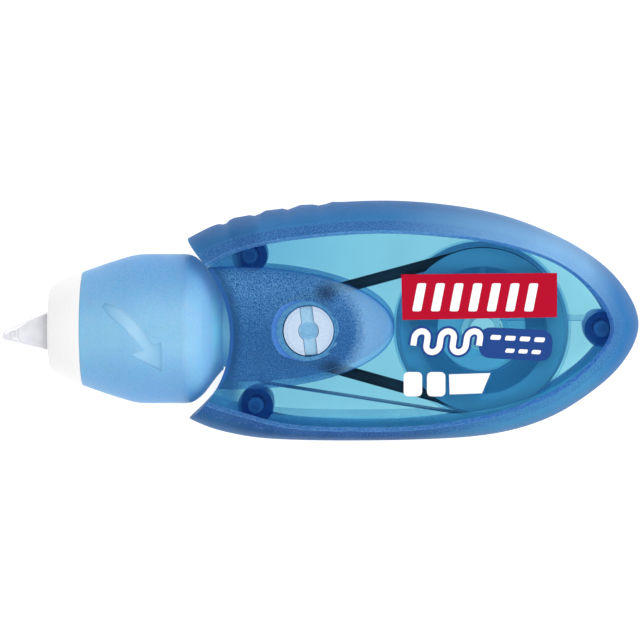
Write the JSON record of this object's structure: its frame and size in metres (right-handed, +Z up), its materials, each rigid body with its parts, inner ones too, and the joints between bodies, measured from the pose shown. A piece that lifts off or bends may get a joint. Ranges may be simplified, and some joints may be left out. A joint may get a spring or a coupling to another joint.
{
  "type": "correction tape roller",
  "caption": "Twist-nose correction tape roller with a see-through blue body, belt-driven reels, a turning collar and a sliding nose guard.",
  "frame": {"origin": "under the middle of the bounding box, on the plane that the part lies on", "axes": "+X from the applicator tip to the tail along the body, +Y across the body towards the scalloped grip edge, +Z up through the thickness towards the side with the rewind knob; the part lies on its side"},
  "size_m": [0.108, 0.0406, 0.0254],
  "materials": {
    "shell": "see-through blue plastic: frosted rim and shoulder, polished window",
    "collar": "light blue moulded plastic with a fine satin texture",
    "white": "smooth opaque white moulded plastic",
    "tip": "milky see-through moulded plastic",
    "reel": "polished see-through turquoise plastic",
    "tape": "white correction tape on a thin carrier",
    "liner": "used silicone-coated carrier tape",
    "belt": "round black rubber drive belt"
  },
  "bodies": {
    "housing": {"near_shell": "shell", "far_shell": "shell", "nozzle_frame": "collar", "collar_retainer": "white", "applicator_tip": "tip", "drive_belt": "belt", "tape_run": "tape"},
    "supply": {"supply_reel": "reel", "supply_flange": "reel", "supply_pulley": "reel", "tape_pack": "tape"},
    "takeup": {"takeup_reel": "reel", "takeup_pulley": "reel", "liner_pack": "liner", "rewind_knob": "white"},
    "collar": {"twist_collar": "collar", "cam_sleeve": "white"},
    "guard": {"nose_guard": "white", "guard_pin_near": "white", "guard_pin_far": "white"}
  },
  "joints": [
    {"name": "supply_spin", "type": "hinge", "parent": "housing", "child": "supply", "pos_m": [0.02745, -0.0013, 0.0127], "axis": [0, 0, 1], "continuous": true},
    {"name": "takeup_spin", "type": "hinge", "parent": "housing", "child": "takeup", "pos_m": [-0.0017, -0.0012, 0.0127], "axis": [0, 0, 1], "continuous": true},
    {"name": "collar_twist", "type": "hinge", "parent": "housing", "child": "collar", "pos_m": [-0.03, -0.0015, 0.0127], "axis": [1, 0, 0], "range_deg": [0, 180]},
    {"name": "guard_slide", "type": "slide", "parent": "housing", "child": "guard", "axis": [-1, 0, 0], "range_m": [0, 0.0086]}
  ],
  "couplings": [
    {"joint": "takeup_spin", "follows": "supply_spin", "ratio": 2.4714},
    {"joint": "guard_slide", "follows": "collar_twist", "m_per_rad": 0.002737}
  ]
}
